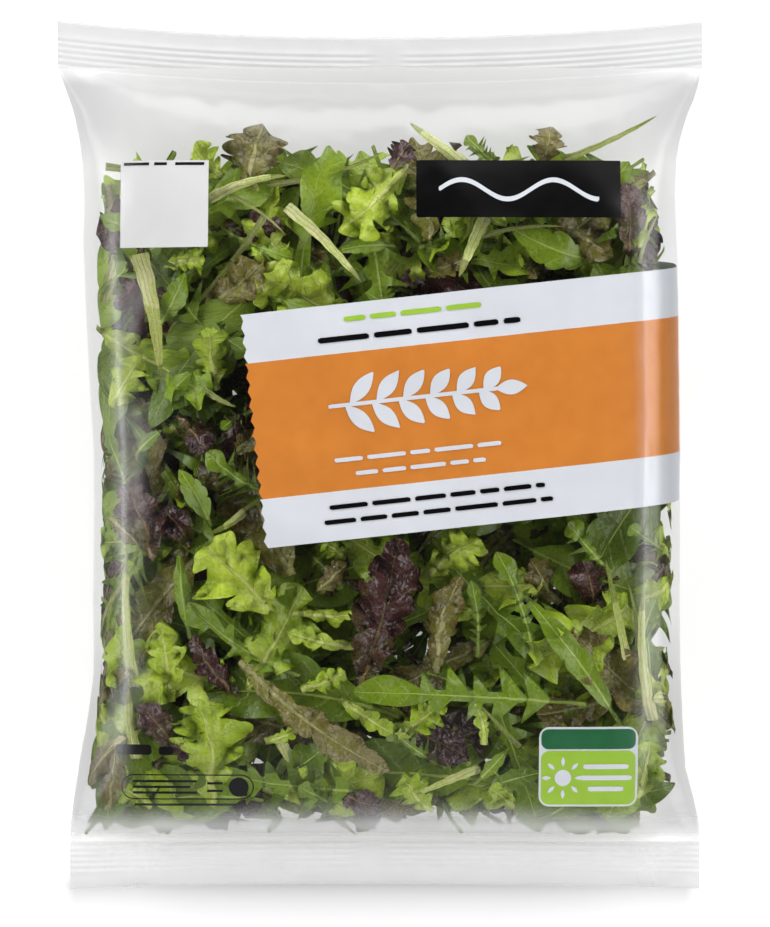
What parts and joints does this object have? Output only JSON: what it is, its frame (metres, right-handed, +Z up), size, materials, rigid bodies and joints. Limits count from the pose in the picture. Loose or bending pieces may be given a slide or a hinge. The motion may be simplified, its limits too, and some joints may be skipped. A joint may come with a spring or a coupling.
{
  "type": "bag of salad leaves",
  "caption": "Filled clear film pillow bag of mixed salad leaves, lying on its back, with a ribbed crimp seal across each end and a lapped seam down the back.",
  "frame": {"origin": "on the table under the middle of the bag, at the centre of its footprint", "axes": "+Z up out of the printed front, +Y along the bag towards its top seal, +X to the right as the front is seen"},
  "size_m": [0.1996, 0.269, 0.0494],
  "materials": {
    "filled_film": "clear glossy film with the green and red leaves showing through",
    "clear_film": "thin clear plastic film, slightly hazy, glossy",
    "rocket_leaf": "soft green leaf with a pale midrib",
    "green_lettuce": "light green crisp leaf, slightly waxy",
    "red_lettuce": "dark purple brown leaf, slightly waxy",
    "pale_rib": "pale juicy leaf rib",
    "white_print": "white ink under glossy film",
    "orange_print": "orange ink under glossy film",
    "dark_print": "black ink under glossy film",
    "green_print": "lime green ink under glossy film"
  },
  "bodies": {
    "root": {"salad_bag": "filled_film"}
  },
  "joints": []
}
